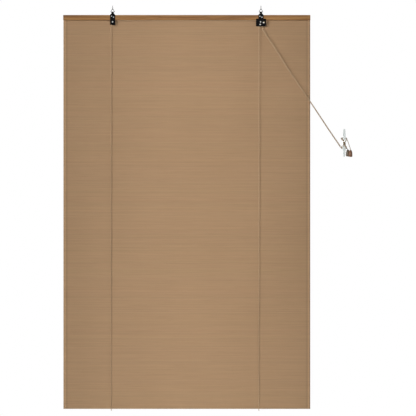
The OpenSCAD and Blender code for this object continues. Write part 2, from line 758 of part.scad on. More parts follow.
left_hook();
right_hook();
left_ring();
right_ring();
cleat();
left_tassel();
right_tassel();
tassel_knots();
left_pull_cord();
right_pull_cord();
headrail();
rear_batten();
batten_nails();
reed_mat();
warp_threads();
bottom_slat();
left_hanger();
left_hanger_screws();
left_axle();
left_axle_bush();
left_sheave();
lock_front_plate();
lock_rear_plate();
lock_screws();
sheave_axle();
front_sheave();
rear_sheave();
lock_spacer();
lock_pin();
lock_roller();
left_lift_cord();
right_lift_cord();
cord_staples();
cord_knots();
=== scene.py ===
"""Looks of the bamboo roller blind: camera, cords, reed mat, woven threads, hardware, materials and light."""

import math
import random

import bmesh
import bpy
import numpy as np
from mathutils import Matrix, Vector


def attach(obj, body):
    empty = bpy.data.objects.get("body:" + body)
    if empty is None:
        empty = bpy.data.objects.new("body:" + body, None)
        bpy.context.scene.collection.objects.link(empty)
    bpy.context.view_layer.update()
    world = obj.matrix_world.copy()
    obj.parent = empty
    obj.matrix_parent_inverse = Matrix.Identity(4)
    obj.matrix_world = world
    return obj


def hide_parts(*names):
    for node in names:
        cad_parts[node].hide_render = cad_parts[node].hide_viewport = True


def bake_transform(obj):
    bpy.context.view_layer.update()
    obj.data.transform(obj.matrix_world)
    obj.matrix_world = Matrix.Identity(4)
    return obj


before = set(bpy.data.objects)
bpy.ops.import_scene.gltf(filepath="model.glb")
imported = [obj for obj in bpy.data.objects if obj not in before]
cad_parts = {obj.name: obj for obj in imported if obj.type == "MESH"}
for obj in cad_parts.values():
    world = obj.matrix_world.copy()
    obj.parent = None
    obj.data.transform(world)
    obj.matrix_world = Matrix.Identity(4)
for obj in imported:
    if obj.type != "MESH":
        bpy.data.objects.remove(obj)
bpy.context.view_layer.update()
scene = bpy.context.scene
rng = random.Random(7)

# Places and sizes from the CAD source, in metres
RAIL_Z = -0.0310414
RAIL_H = 0.020
LIP_H = 0.008
HEM_Z = -1.6260414
AXLE_Z = -0.0590414
BLIND_W = 1.0
MAT_Y = 0.01094
MAT_BACK = 0.01334
BATTEN_BACK = 0.01734
SLAT_BACK = 0.01834
SLAT_H = 0.018
FRONT_SHEAVE_Y = 0.00144
REAR_SHEAVE_Y = 0.00604
LEFT_X = -0.3
RIGHT_X = 0.3
LOCK_AXLE_X = 0.2985
SHEAVE_R = 0.0065
CORD_D = 0.0024
CORD_R = CORD_D / 2
SOFT_GAP = 0.0003
WARP_T = 0.0004
EXIT = (0.305, -0.0770414)
CLEAT = np.array([0.638, 0.030, -0.5480414])
LEFT_TASSEL = np.array([0.6535, 0.021, -0.5750414])
RIGHT_TASSEL = np.array([0.663, 0.0075, -0.5770414])
TASSEL_L = 0.028
TASSEL_CORD_L = 0.017
MM = 0.001
X, Y, Z = np.eye(3)
half_w = BLIND_W / 2
mat_mid = (MAT_Y + MAT_BACK) / 2
mat_top = RAIL_Z - LIP_H

# Reeds of the mat, finer than the CAD's ridges
REED_PITCH = 0.0026
NODES_PER_METRE = 3.2


# Materials

WHITE = (1, 1, 1)
GRAIN_ACROSS, GRAIN_ALONG = 420.0, 9.0
BANDS_ACROSS, BANDS_ALONG = 60.0, 2.6


def material(name):
    """A new node material with its Principled shader."""
    m = bpy.data.materials.new(name)
    m.use_nodes = True
    return m, m.node_tree, m.node_tree.nodes["Principled BSDF"]


def add(tree, kind, **values):
    """A node with its properties and its input values set by name."""
    n = tree.nodes.new(kind)
    for k, v in values.items():
        if k in n.inputs:
            n.inputs[k].default_value = v
        else:
            setattr(n, k, v)
    return n


def coords(tree, scale):
    """Object coordinates stretched by a scale along each axis."""
    place = add(tree, "ShaderNodeTexCoord")
    stretch = add(tree, "ShaderNodeMapping")
    stretch.inputs["Scale"].default_value = scale
    tree.links.new(place.outputs["Object"], stretch.inputs["Vector"])
    return stretch.outputs["Vector"]


def noise(tree, scale, detail, rough):
    """Noise on stretched object coordinates, as a value from 0 to 1."""
    n = add(tree, "ShaderNodeTexNoise", Detail=detail, Roughness=rough)
    n.inputs["Scale"].default_value = 1.0
    tree.links.new(coords(tree, scale), n.inputs["Vector"])
    return n.outputs["Fac"]


def ramp(tree, value, stops):
    """A colour ramp over a value, from a list of places and colours."""
    r = add(tree, "ShaderNodeValToRGB")
    e = r.color_ramp.elements
    while len(e) < len(stops):
        e.new(0.5)
    for slot, (at, colour) in zip(e, stops):
        slot.position = at
        slot.color = (*colour, 1.0)
    tree.links.new(value, r.inputs["Fac"])
    return r.outputs["Color"]


def spread(tree, value, low, high):
    """A value from 0 to 1 spread over another range."""
    m = add(tree, "ShaderNodeMapRange")
    m.inputs["To Min"].default_value = low
    m.inputs["To Max"].default_value = high
    tree.links.new(value, m.inputs["Value"])
    return m.outputs["Result"]


def multiply(tree, a, b, factor):
    """A colour multiplied by another one, to a fixed degree."""
    m = add(tree, "ShaderNodeMix", data_type="RGBA", blend_type="MULTIPLY")
    m.inputs["Factor"].default_value = factor
    tree.links.new(a, m.inputs["A"])
    tree.links.new(b, m.inputs["B"])
    return m.outputs["Result"]


def bump(tree, shader, height, strength, distance):
    """Bump from a height on the shader's normal."""
    b = add(tree, "ShaderNodeBump")
    b.inputs["Strength"].default_value = strength
    b.inputs["Distance"].default_value = distance
    tree.links.new(height, b.inputs["Height"])
    tree.links.new(b.outputs["Normal"], shader.inputs["Normal"])


def tint_of(tree):
    """The tint that is painted on a mesh's points."""
    return add(tree, "ShaderNodeVertexColor", layer_name="tint").outputs["Color"]


def drawn_out(across, along, axis):
    """A texture scale that is finer across an axis than along it."""
    scale = [across] * 3
    scale[axis] = along
    return scale


def reed_nodes(tree):
    """Faint dark joints scattered along the reeds, a few to a metre."""
    place = add(tree, "ShaderNodeTexCoord")
    parts = add(tree, "ShaderNodeSeparateXYZ")
    tree.links.new(place.outputs["Object"], parts.inputs[0])
    flat = add(tree, "ShaderNodeCombineXYZ")
    for axis, to, per_metre in (("X", "X", NODES_PER_METRE), ("Z", "Y", 1 / REED_PITCH)):
        scaled = add(tree, "ShaderNodeMath", operation="MULTIPLY")
        tree.links.new(parts.outputs[axis], scaled.inputs[0])
        scaled.inputs[1].default_value = per_metre
        tree.links.new(scaled.outputs[0], flat.inputs[to])
    cells = add(tree, "ShaderNodeTexVoronoi", voronoi_dimensions="2D")
    cells.inputs["Scale"].default_value = 1.0
    tree.links.new(flat.outputs[0], cells.inputs["Vector"])
    dark, soft = (0.70, 0.66, 0.60), (0.84, 0.81, 0.77)
    return ramp(tree, cells.outputs["Distance"], [(0.0, dark), (0.05, soft), (0.085, WHITE)])


def reed_look():
    """Split reeds: each one's own tint, with streaks along it, wide patches and a few nodes."""
    m, t, s = material("reed_look")
    streaks = noise(t, (7, 300, 900), detail=4.0, rough=0.6)
    grain = ramp(t, streaks, [(0.25, (0.86, 0.85, 0.83)), (0.55, WHITE), (0.8, (1.06, 1.06, 1.05))])
    patches = noise(t, (2.2, 5, 1.3), detail=2.0, rough=0.5)
    warm = ramp(t, patches, [(0.3, (0.97, 0.965, 0.95)), (0.7, (1.03, 1.03, 1.03))])
    plain = multiply(t, multiply(t, tint_of(t), grain, 1.0), warm, 1.0)
    t.links.new(multiply(t, plain, reed_nodes(t), 0.8), s.inputs["Base Color"])
    t.links.new(spread(t, streaks, 0.5, 0.8), s.inputs["Roughness"])
    s.inputs["Specular IOR Level"].default_value = 0.25
    bump(t, s, streaks, strength=0.35, distance=0.0003)
    return m


def fibre_look(name, dark, light, fineness):
    """Cord or thread: the painted tint under fine fibres."""
    m, t, s = material(name)
    fuzz = noise(t, (fineness, fineness, fineness), detail=4.0, rough=0.65)
    fibres = ramp(t, fuzz, [(0.3, dark), (0.7, light)])
    t.links.new(multiply(t, tint_of(t), fibres, 1.0), s.inputs["Base Color"])
    s.inputs["Roughness"].default_value = 0.9
    s.inputs["Sheen Weight"].default_value = 0.25
    s.inputs["Specular IOR Level"].default_value = 0.15
    bump(t, s, fuzz, strength=0.5, distance=0.0002)
    return m


def wood_look(name, dark, middle, light, along, rough, coat):
    """Wood with its grain drawn out along one axis."""
    m, t, s = material(name)
    grain = noise(t, drawn_out(GRAIN_ACROSS, GRAIN_ALONG, along), detail=5.0, rough=0.6)
    bands = noise(t, drawn_out(BANDS_ACROSS, BANDS_ALONG, along), detail=3.0, rough=0.5)
    fine = ramp(t, grain, [(0.3, (0.72, 0.70, 0.67)), (0.6, WHITE)])
    wide = ramp(t, bands, [(0.30, dark), (0.50, middle), (0.68, light)])
    t.links.new(multiply(t, wide, fine, 0.85), s.inputs["Base Color"])
    t.links.new(spread(t, grain, rough - 0.1, rough + 0.12), s.inputs["Roughness"])
    s.inputs["Specular IOR Level"].default_value = 0.25
    s.inputs["Coat Weight"].default_value = coat
    s.inputs["Coat Roughness"].default_value = 0.3
    bump(t, s, grain, strength=0.25, distance=0.0003)
    return m


def paint_look():
    """Black lacquer, a little greyer where it is worn, with a faint orange peel."""
    m, t, s = material("black_paint_look")
    peel = noise(t, (900, 900, 900), detail=2.0, rough=0.5)
    wear = noise(t, (160, 160, 160), detail=5.0, rough=0.7)
    black, dull, worn = (0.0025, 0.0025, 0.003), (0.006, 0.006, 0.0065), (0.022, 0.021, 0.02)
    t.links.new(ramp(t, wear, [(0.35, black), (0.66, dull), (0.8, worn)]), s.inputs["Base Color"])
    t.links.new(spread(t, wear, 0.4, 0.6), s.inputs["Roughness"])
    s.inputs["Specular IOR Level"].default_value = 0.03
    bump(t, s, peel, strength=0.12, distance=0.0002)
    return m


def metal_look(name, dark, light, rough, scale):
    """Bare metal with fine scratches and dull spots."""
    m, t, s = material(name)
    spots = noise(t, (scale, scale, scale), detail=5.0, rough=0.65)
    t.links.new(ramp(t, spots, [(0.3, dark), (0.65, light)]), s.inputs["Base Color"])
    s.inputs["Metallic"].default_value = 1.0
    t.links.new(spread(t, spots, rough - 0.08, rough + 0.14), s.inputs["Roughness"])
    bump(t, s, spots, strength=0.08, distance=0.0001)
    return m


def plastic_look(name, dark, light, rough):
    """Moulded plastic with a faint mottle and fine texture."""
    m, t, s = material(name)
    mottle = noise(t, (60, 60, 60), detail=3.0, rough=0.5)
    pores = noise(t, (1600, 1600, 1600), detail=2.0, rough=0.5)
    t.links.new(ramp(t, mottle, [(0.3, dark), (0.7, light)]), s.inputs["Base Color"])
    t.links.new(spread(t, mottle, rough - 0.06, rough + 0.08), s.inputs["Roughness"])
    bump(t, s, pores, strength=0.1, distance=0.0001)
    return m


LOOKS = {
    "reed": reed_look(),
    "cord": fibre_look("cord_look", (0.74, 0.72, 0.70), (1.05, 1.05, 1.05), fineness=2600),
    "thread": fibre_look("thread_look", (0.8, 0.8, 0.8), (1.05, 1.05, 1.05), fineness=3200),
    "rail_wood": wood_look(
        "rail_wood_look", dark=(0.190, 0.080, 0.023), middle=(0.325, 0.158, 0.050),
        light=(0.46, 0.248, 0.088), along=0, rough=0.55, coat=0.0,
    ),
    "black_steel": paint_look(),
    "rivet_steel": metal_look(
        "rivet_steel_look", (0.34, 0.335, 0.325), (0.60, 0.59, 0.575), rough=0.28, scale=900,
    ),
    "screw_steel": metal_look(
        "screw_steel_look", (0.62, 0.615, 0.605), (0.82, 0.815, 0.805), rough=0.34, scale=900,
    ),
    "hook_steel": metal_look(
        "hook_steel_look", (0.045, 0.045, 0.047), (0.12, 0.12, 0.122), rough=0.36, scale=700,
    ),
    "nail_steel": metal_look(
        "nail_steel_look", (0.10, 0.10, 0.102), (0.21, 0.208, 0.205), rough=0.48, scale=600,
    ),
    "roller_brass": metal_look(
        "roller_brass_look", (0.50, 0.34, 0.12), (0.72, 0.52, 0.22), rough=0.3, scale=800,
    ),
    "sheave_plastic": plastic_look(
        "sheave_plastic_look", (0.035, 0.035, 0.036), (0.07, 0.07, 0.07), rough=0.5,
    ),
    "cleat_plastic": plastic_look(
        "cleat_plastic_look", (0.80, 0.86, 0.84), (0.88, 0.925, 0.905), rough=0.36,
    ),
    "tassel_left": wood_look(
        "tassel_left_look", dark=(0.090, 0.064, 0.038), middle=(0.165, 0.118, 0.074),
        light=(0.225, 0.166, 0.108), along=2, rough=0.42, coat=0.35,
    ),
    "tassel_right": wood_look(
        "tassel_right_look", dark=(0.110, 0.048, 0.025), middle=(0.220, 0.098, 0.047),
        light=(0.30, 0.152, 0.076), along=2, rough=0.42, coat=0.35,
    ),
}


# Mesh helpers

NORMAL_SEED = (0.31, 0.87, 0.38)
JOIN_DIST = 1e-6
FLAT_DEG, SHARP_DEG, CREASE_DEG = 1, 35, 20
EASE_SEGMENTS = 2
LATHE_SIDES = 48


def piece(name, points, faces, look, body=None, tints=None):
    """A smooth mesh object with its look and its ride."""
    me = bpy.data.meshes.new(name)
    me.from_pydata([tuple(map(float, p)) for p in points], [], faces)
    me.polygons.foreach_set("use_smooth", [True] * len(me.polygons))
    if tints is not None:
        paint = me.color_attributes.new("tint", "FLOAT_COLOR", "POINT")
        rgba = np.ones((len(points), 4), np.float32)
        rgba[:, :3] = tints
        paint.data.foreach_set("color", rgba.ravel())
    me.materials.append(LOOKS[look])
    me.update()
    ob = bpy.data.objects.new(name, me)
    scene.collection.objects.link(ob)
    if body:
        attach(ob, body)
    return ob


def arc(c, r, a0, a1, n, u, v):
    """Points of an arc about c, in degrees, in the plane of u and v."""
    return [
        np.asarray(c) + r * (math.cos(math.radians(a)) * u + math.sin(math.radians(a)) * v)
        for a in (a0 + (a1 - a0) * i / n for i in range(n + 1))
    ]


def smooth_path(points, step, hold=0.004, long=0.025):
    """A smooth line through points, with steps of about one length and straight long runs."""
    p = [np.asarray(q, float) for q in points]
    out = [p[0]]
    for a, b in zip(p[:-1], p[1:]):
        d = np.linalg.norm(b - a)
        if d > long:
            out += [a + (b - a) * hold / d, b - (b - a) * hold / d]
        out.append(b)
    p = [2 * out[0] - out[1], *out, 2 * out[-1] - out[-2]]
    line = []
    for i in range(1, len(p) - 2):
        k = [0.0]
        for j in range(3):
            k.append(k[-1] + max(1e-6, np.linalg.norm(p[i + j] - p[i + j - 1])) ** 0.5)
        n = max(2, int(np.linalg.norm(p[i + 1] - p[i]) / step * 2))
        for s in np.linspace(k[1], k[2], n, endpoint=False):
            a = [
                ((k[j + 1] - s) * p[i - 1 + j] + (s - k[j]) * p[i + j]) / (k[j + 1] - k[j])
                for j in range(3)
            ]
            b = [
                ((k[j + 2] - s) * a[j] + (s - k[j]) * a[j + 1]) / (k[j + 2] - k[j])
                for j in range(2)
            ]
            line.append(((k[2] - s) * b[0] + (s - k[1]) * b[1]) / (k[2] - k[1]))
    line = np.array([*line, p[-2]])
    s = np.concatenate([[0], np.cumsum(np.linalg.norm(np.diff(line, axis=0), axis=1))])
    at = np.linspace(0, s[-1], int(s[-1] / step) + 1)
    return np.stack([np.interp(at, s, line[:, c]) for c in range(3)], axis=1)


def normals(path):
    """Two normals along a path, carried along without twist."""
    t = np.gradient(path, axis=0)
    t /= np.linalg.norm(t, axis=1)[:, None]
    u = np.zeros_like(t)
    u[0] = np.cross(t[0], NORMAL_SEED)
    u[0] /= np.linalg.norm(u[0])
    for i in range(1, len(t)):
        w = u[i - 1] - t[i] * np.dot(u[i - 1], t[i])
        u[i] = w / np.linalg.norm(w)
    return u, np.cross(t, u)


def round_angles(sides):
    """Angles once round a tube."""
    return np.linspace(0, 2 * math.pi, sides, endpoint=False)


def tube_faces(rings, sides):
    """Quads between the rings of a tube, with both ends closed."""
    faces = [
        (i * sides + k, i * sides + (k + 1) % sides, (i + 1) * sides + (k + 1) % sides, (i + 1) * sides + k)
        for i in range(rings - 1)
        for k in range(sides)
    ]
    last = (rings - 1) * sides
    return [*faces, tuple(range(sides))[::-1], tuple(range(last, last + sides))]


def tube(path, radii, sides):
    """Points and faces of a tube along a path, with one radius for all or for each point and side."""
    u, v = normals(path)
    a = round_angles(sides)
    r = np.broadcast_to(radii, (len(path), sides))
    points = path[:, None] + r[..., None] * (
        np.cos(a)[None, :, None] * u[:, None] + np.sin(a)[None, :, None] * v[:, None]
    )
    return points.reshape(-1, 3), tube_faces(len(path), sides)


def lathe(name, profile, place, look, body):
    """A turned piece about a vertical axis, from radii and heights; the profile is closed on itself."""
    n = len(profile)
    points, faces = [], []
    for k in range(LATHE_SIDES):
        a = 2 * math.pi * k / LATHE_SIDES
        points += [np.asarray(place) + np.array([r * math.cos(a), r * math.sin(a), z]) for r, z in profile]
        for i in range(n):
            j, b = (i + 1) % n, ((k + 1) % LATHE_SIDES) * n
            faces.append((k * n + i, b + i, b + j, k * n + j))
    return piece(name, points, faces, look, body)


def shape_of(node):
    """A CAD node's shape with its double points joined."""
    bm = bmesh.new()
    bm.from_mesh(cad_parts[node].data)
    bmesh.ops.remove_doubles(bm, verts=bm.verts, dist=JOIN_DIST)
    return bm


def stand_in(ob, node, look, body):
    """Smooth faces, a look and a ride for a piece that stands for a CAD node."""
    ob.data.polygons.foreach_set("use_smooth", [True] * len(ob.data.polygons))
    ob.data.materials.clear()
    ob.data.materials.append(LOOKS[look])
    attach(ob, body)
    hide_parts(node)


def eased(node, look, body, width):
    """A copy of a CAD node's shape with its sharp edges eased, in its place."""
    bm = shape_of(node)
    bmesh.ops.dissolve_limit(bm, angle_limit=math.radians(FLAT_DEG), verts=bm.verts, edges=bm.edges)
    sharp = [
        e for e in bm.edges if len(e.link_faces) == 2 and e.calc_face_angle() > math.radians(SHARP_DEG)
    ]
    bmesh.ops.bevel(
        bm, geom=sharp, offset=width, offset_type="OFFSET", segments=EASE_SEGMENTS, profile=0.5,
        affect="EDGES", clamp_overlap=True,
    )
    me = bpy.data.meshes.new(node + "_eased")
    bm.to_mesh(me)
    bm.free()
    ob = bpy.data.objects.new(node + "_eased", me)
    scene.collection.objects.link(ob)
    stand_in(ob, node, look, body)
    me.set_sharp_from_angle(angle=math.radians(CREASE_DEG))


def rounded(node, look, body, voxel, passes):
    """A copy of a CAD node's shape with all its edges rounded off, in its place."""
    bm = shape_of(node)
    blank = bpy.data.meshes.new(node + "_blank")
    bm.to_mesh(blank)
    bm.free()
    ob = bpy.data.objects.new(node + "_rounded", blank)
    scene.collection.objects.link(ob)
    grid = ob.modifiers.new("grid", "REMESH")
    grid.mode = "VOXEL"
    grid.voxel_size = voxel
    ease = ob.modifiers.new("ease", "SMOOTH")
    ease.factor = 0.5
    ease.iterations = passes
    shape = bpy.data.meshes.new_from_object(ob.evaluated_get(bpy.context.evaluated_depsgraph_get()))
    shape.name = node + "_rounded"
    ob.modifiers.clear()
    ob.data = shape
    bpy.data.meshes.remove(blank)
    stand_in(ob, node, look, body)


def wire(name, path, radii, look, body, sides, tint=None):
    """A round wire along a path, with one radius for all or for each point and side."""
    points, faces = tube(path, radii, sides)
    tints = None if tint is None else np.broadcast_to(tint, points.shape)
    return piece(name, points, faces, look, body, tints=tints)


# Camera, straight on as in the photograph; FRAME_HALF is half of what it sees at the mat

FRAME_HALF = 0.8429
CAMERA_X = 0.0858
CAMERA_Y = -7.0
CAMERA_DROP = 0.7809
SENSOR = 36.0
camera = bpy.data.cameras.new("camera")
camera.sensor_width = SENSOR
camera.lens = SENSOR / 2 * (MAT_Y - CAMERA_Y) / FRAME_HALF
camera_at = bpy.data.objects.new("camera", camera)
camera_at.location = (CAMERA_X, CAMERA_Y, RAIL_Z - CAMERA_DROP)
camera_at.rotation_euler = (math.pi / 2, 0, 0)
scene.collection.objects.link(camera_at)
scene.camera = camera_at


# Cords: the routes repeat those of the CAD source

CORD_COLOUR = (0.645, 0.458, 0.287)
PULL_COLOUR = (0.61, 0.43, 0.262)
# Pull cords and their tassel knots turn darker and warmer towards the cleat
TOWARD_CLEAT_FROM = 0.50
TOWARD_CLEAT_TO = 0.60
TOWARD_CLEAT_TONE = np.array((0.61, 0.49, 0.22))
ROPE_STEP = 0.0011
ROPE_SIDES = 9
ROPE_PITCH = 0.0075
STRANDS = 3
STRAND_DIP = 0.20
# Painted shade: how much darker the grooves between cord strands are coloured
SEAM_PAINTED_SHADE = 0.38
HEM_TURN_DROP = 0.0022
ANCHOR_DROP = 0.006
left_strand_x = LEFT_X - SHEAVE_R
right_strand_x = LOCK_AXLE_X - SHEAVE_R
hem_front_y = MAT_Y - CORD_R - SOFT_GAP - WARP_T
hem_back_y = SLAT_BACK + CORD_R + SOFT_GAP
hem_turn_r = (hem_back_y - hem_front_y) / 2
hem_turn_y = (hem_back_y + hem_front_y) / 2
hem_turn_z = HEM_Z - HEM_TURN_DROP
anchor_y = BATTEN_BACK + CORD_R + SOFT_GAP
anchor_z = RAIL_Z - ANCHOR_DROP


def rope(name, route, colour):
    """A three-strand twisted cord with painted shade in the grooves between strands, and darker and warmer
    towards the cleat.
    """
    path = smooth_path(route, ROPE_STEP)
    s = np.arange(len(path)) * ROPE_STEP
    turn = round_angles(ROPE_SIDES)[None, :] - 2 * math.pi * s[:, None] / ROPE_PITCH
    swell = np.abs(np.cos(STRANDS / 2 * turn))
    points, faces = tube(path, CORD_R * (1 - STRAND_DIP + STRAND_DIP * swell), ROPE_SIDES)
    # Darker and warmer colour towards the cleat
    toward_cleat = np.clip((path[:, 0] - TOWARD_CLEAT_FROM) / (TOWARD_CLEAT_TO - TOWARD_CLEAT_FROM), 0, 1)[:, None, None]
    # Painted shade: darker colour in the grooves between the strands
    groove_shade = (1 - SEAM_PAINTED_SHADE + SEAM_PAINTED_SHADE * swell)[..., None]
    shade = groove_shade * np.array(colour) * (1 + toward_cleat * (TOWARD_CLEAT_TONE - 1))
    return piece(name, points, faces, "cord", tints=shade.reshape(-1, 3)), path


def hem_turn(x):
    """From the knot behind the rail down the back and round the hem."""
    return [
        np.array([x, anchor_y, anchor_z]),
        *arc((x, hem_turn_y, hem_turn_z), hem_turn_r, 0, -180, 8, Y, Z),
    ]


def from_exit(y, points):
    """Points in millimetres from the lock's exit, in metres."""
    return [np.array([EXIT[0], y, EXIT[1]]) + np.array(p) * MM for p in points]


def from_cleat(points):
    """Points in millimetres from the middle of the cleat's foot, in metres."""
    return [CLEAT + np.array(p) * MM for p in points]


left_lift_route = [
    *hem_turn(left_strand_x),
    *arc((LEFT_X, REAR_SHEAVE_Y, AXLE_Z), SHEAVE_R, 180, 90, 5, X, Z),
    *arc((LOCK_AXLE_X, REAR_SHEAVE_Y, AXLE_Z), SHEAVE_R, 90, 0, 5, X, Z),
    np.array([EXIT[0], REAR_SHEAVE_Y, EXIT[1]]),
]
right_lift_route = [
    *hem_turn(right_strand_x),
    *arc((LOCK_AXLE_X, FRONT_SHEAVE_Y, AXLE_Z), SHEAVE_R, 180, 0, 10, X, Z),
    np.array([EXIT[0], FRONT_SHEAVE_Y, EXIT[1]]),
]
right_pull_route = [
    *from_exit(FRONT_SHEAVE_Y, [
        (0, 0, -0.3), (0.3, 0, -4), (1.8, 0.2, -9), (5, 0.5, -15), (54, 1, -89), (99, 2, -161),
        (200, 3, -310),
    ]),
    *from_cleat([
        (-64, -17, 58), (-20, -10.5, -5), (-13, -9.7, -14), (-8, -9.5, -17.2), (0, -9.5, -18),
        (4, -9.7, -18), (8, -11.5, -18), (9.8, -15.5, -17.6), (9.2, -21.6, -16), (5, -22.8, -11.5),
        (0, -22.8, 0), (-5, -22.8, 11.5), (-9.2, -21.6, 16), (-9.8, -15.5, 17.6), (-8, -11.5, 18),
        (-4, -9.7, 18), (4, -9.7, 18), (9, -10.6, 16.5), (13, -13, 11), (17, -16.5, 0), (21, -20, -14),
        (24, -22, -23),
    ]),
    RIGHT_TASSEL,
    RIGHT_TASSEL - TASSEL_CORD_L * Z,
]
left_pull_route = [
    *from_exit(REAR_SHEAVE_Y, [
        (0, 0, -0.3), (0.1, 0, -5), (1, 0, -11), (4, 0, -17.5), (52.5, 0.3, -91), (97.5, 0.5, -163),
        (198.5, 1.6, -312),
    ]),
    *from_cleat([
        (-65.5, -14, 56), (-21.5, -10.2, -8), (-15, -9.6, -17), (-8, -9.5, -20.2), (0, -9.5, -20.8),
        (4, -9.7, -20.8), (8, -11.5, -20.8), (10.4, -15.5, -20.4), (9.2, -21.7, -19.3),
        (4.8, -22.9, -16.5), (2.4, -22.9, -12.6), (-2.6, -22.7, -1.1), (-7.9, -22.5, 10.2),
        (-12.2, -20.8, 15.6), (-12.5, -15.5, 19.2), (-9.6, -11.4, 20.7), (-4, -9.7, 20.9),
        (4, -9.7, 20.9), (8, -11.6, 20.5), (10.6, -16.5, 18), (10, -22, 14), (6.5, -25, 8),
        (0, -25.6, -1), (-7.4, -24.4, -13), (-10.8, -20, -19), (-11.4, -15.5, -22), (-8.6, -11.2, -23.4),
        (-4, -9.6, -23.7), (4, -9.2, -23.7), (10, -9.1, -23), (14, -9, -24),
    ]),
    LEFT_TASSEL,
    LEFT_TASSEL - TASSEL_CORD_L * Z,
]

for name, route in (("left_lift_cord", left_lift_route), ("right_lift_cord", right_lift_route)):
    lift, lift_path = rope(name + "_twist", route, CORD_COLOUR)
    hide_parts(name)
    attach(lift, "blind")
pulls = {}
for name, route in (("left_pull_cord", left_pull_route), ("right_pull_cord", right_pull_route)):
    pull, pull_path = rope(name + "_twist", route, PULL_COLOUR)
    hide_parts(name)
    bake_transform(pull)
    pulls[name] = (pull, pull_path, route)


# Reed mat: a few hundred split reeds, each with its own tone and a slight bow

REED_HALF_H = 0.00133
REED_HALF_T = 0.00112
REED_LAP = 1.12
REED_SWELL = 1.07
REED_SIDES = 8
REED_TONE = np.array((0.447, 0.289, 0.164))
TONE_SPREAD = 0.03
HUE_SPREAD = 0.012
REED_BOW = 0.00006
BOW_WAVE = 7
BOW_PHASE = 40
BOW_DEEP, BOW_HIGH = 0.5, 0.3
EDGE_BAND = 0.02
# Near each side of the mat: a lighter band of edge thread, then a darker band inside it that is painted shade
# beside the edge thread
EDGE_MARKS = (0.0, 0.0050, 0.0060, 0.0092, 0.0102, 0.0165, 0.0180)
EDGE_TONES_AND_SHADE = (1.01, 1.02, 1.17, 1.18, 0.87, 0.89, 1.0)
INNER_STATIONS = [-0.33, -0.17, 0.0, 0.17, 0.33]
reed_count = int((mat_top - HEM_Z) / REED_PITCH)


def edge_tone_and_shade(x):
    """The tone of a place on a reed: near the sides a lighter band for the edge thread and a darker band of
    painted shade inside it, plain between them.
    """
    inside = half_w - abs(x)
    if inside >= EDGE_BAND:
        return 1.0
    return EDGE_TONES_AND_SHADE[min(range(len(EDGE_MARKS)), key=lambda k: abs(inside - EDGE_MARKS[k]))]


def reed_z(i):
    """The height of a reed's middle, counted up from the hem."""
    return HEM_Z + REED_HALF_H + i * (mat_top - HEM_Z - 2 * REED_HALF_H) / (reed_count - 1)


stations = sorted([-half_w + e for e in EDGE_MARKS] + [half_w - e for e in EDGE_MARKS] + INNER_STATIONS)
station_tones_and_shade = [edge_tone_and_shade(x) for x in stations]
mat_points, mat_faces, mat_tints = [], [], []
for i in range(reed_count):
    z = reed_z(i)
    tone = REED_TONE * (1 + rng.uniform(-TONE_SPREAD, TONE_SPREAD))
    tone = tone * (1 + np.array([rng.uniform(-HUE_SPREAD, HUE_SPREAD) for _ in range(3)]))
    bow = [rng.uniform(-REED_BOW, REED_BOW) for _ in range(3)]
    base = len(mat_points)
    for x, edge in zip(stations, station_tones_and_shade):
        wave = bow[0] * math.sin(BOW_WAVE * x + BOW_PHASE * bow[1] / REED_BOW) + bow[2] * x / half_w
        for k in range(REED_SIDES):
            a = 2 * math.pi * (k + 0.5) / REED_SIDES
            mat_points.append((
                x,
                mat_mid + REED_HALF_T * math.cos(a) * REED_SWELL + wave * BOW_DEEP,
                z + REED_HALF_H * math.sin(a) * REED_LAP + wave * BOW_HIGH,
            ))
            # Reed tints carry the painted shade band beside the edge thread
            mat_tints.append(tone * edge)
    mat_faces += [tuple(base + q for q in f) for f in tube_faces(len(stations), REED_SIDES)]
mat = piece("reed_mat_reeds", mat_points, mat_faces, "reed", "blind", tints=np.array(mat_tints))
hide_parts("reed_mat")


# Warp threads woven in pairs in front of and behind the reeds, but not between the reeds and the slat

WARP_PITCH = 0.05
WARP_EDGE = 0.009
THREAD_W = 0.0008
THREAD_T = 0.0004
THREAD_PROUD = 0.35
THREAD_APART = 1.1
THREAD_TONE = np.array((0.47, 0.325, 0.200))
RAIL_CLEAR = 0.002
SLAT_CLEAR = 0.003
warp_half = math.floor((half_w - 1.5 * WARP_EDGE) / WARP_PITCH - 0.5)
warp_places = [s * (i + 0.5) * WARP_PITCH for i in range(warp_half + 1) for s in (-1, 1)]
warp_places += [-half_w + WARP_EDGE, half_w - WARP_EDGE]
thread_out = REED_HALF_T + THREAD_T * THREAD_PROUD
thread_top = RAIL_Z - RAIL_H - RAIL_CLEAR
for side in (0, 1):
    points, faces, tints = [], [], []
    for x in warp_places:
        base, rings = len(points), 0
        at = x + (0.5 - side) * THREAD_W * THREAD_APART
        for i in range(reed_count):
            z = reed_z(i)
            if z > thread_top:
                break
            out = thread_out if (i + side) % 2 else -thread_out
            if out > 0 and z < HEM_Z + SLAT_H + SLAT_CLEAR:
                out = 0.0
            for dx, dy in ((-0.5, 0), (0, -0.5), (0.5, 0), (0, 0.5)):
                points.append((at + dx * THREAD_W, mat_mid + out + dy * THREAD_T, z))
                tints.append(THREAD_TONE)
            rings += 1
        faces += [tuple(base + q for q in f) for f in tube_faces(rings, 4)]
    threads = piece(f"warp_threads_{side}", points, faces, "thread", "blind", tints=np.array(tints))
    if side == 0:
        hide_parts("warp_threads")


# Turned tassels: radii and heights in millimetres, the bore first

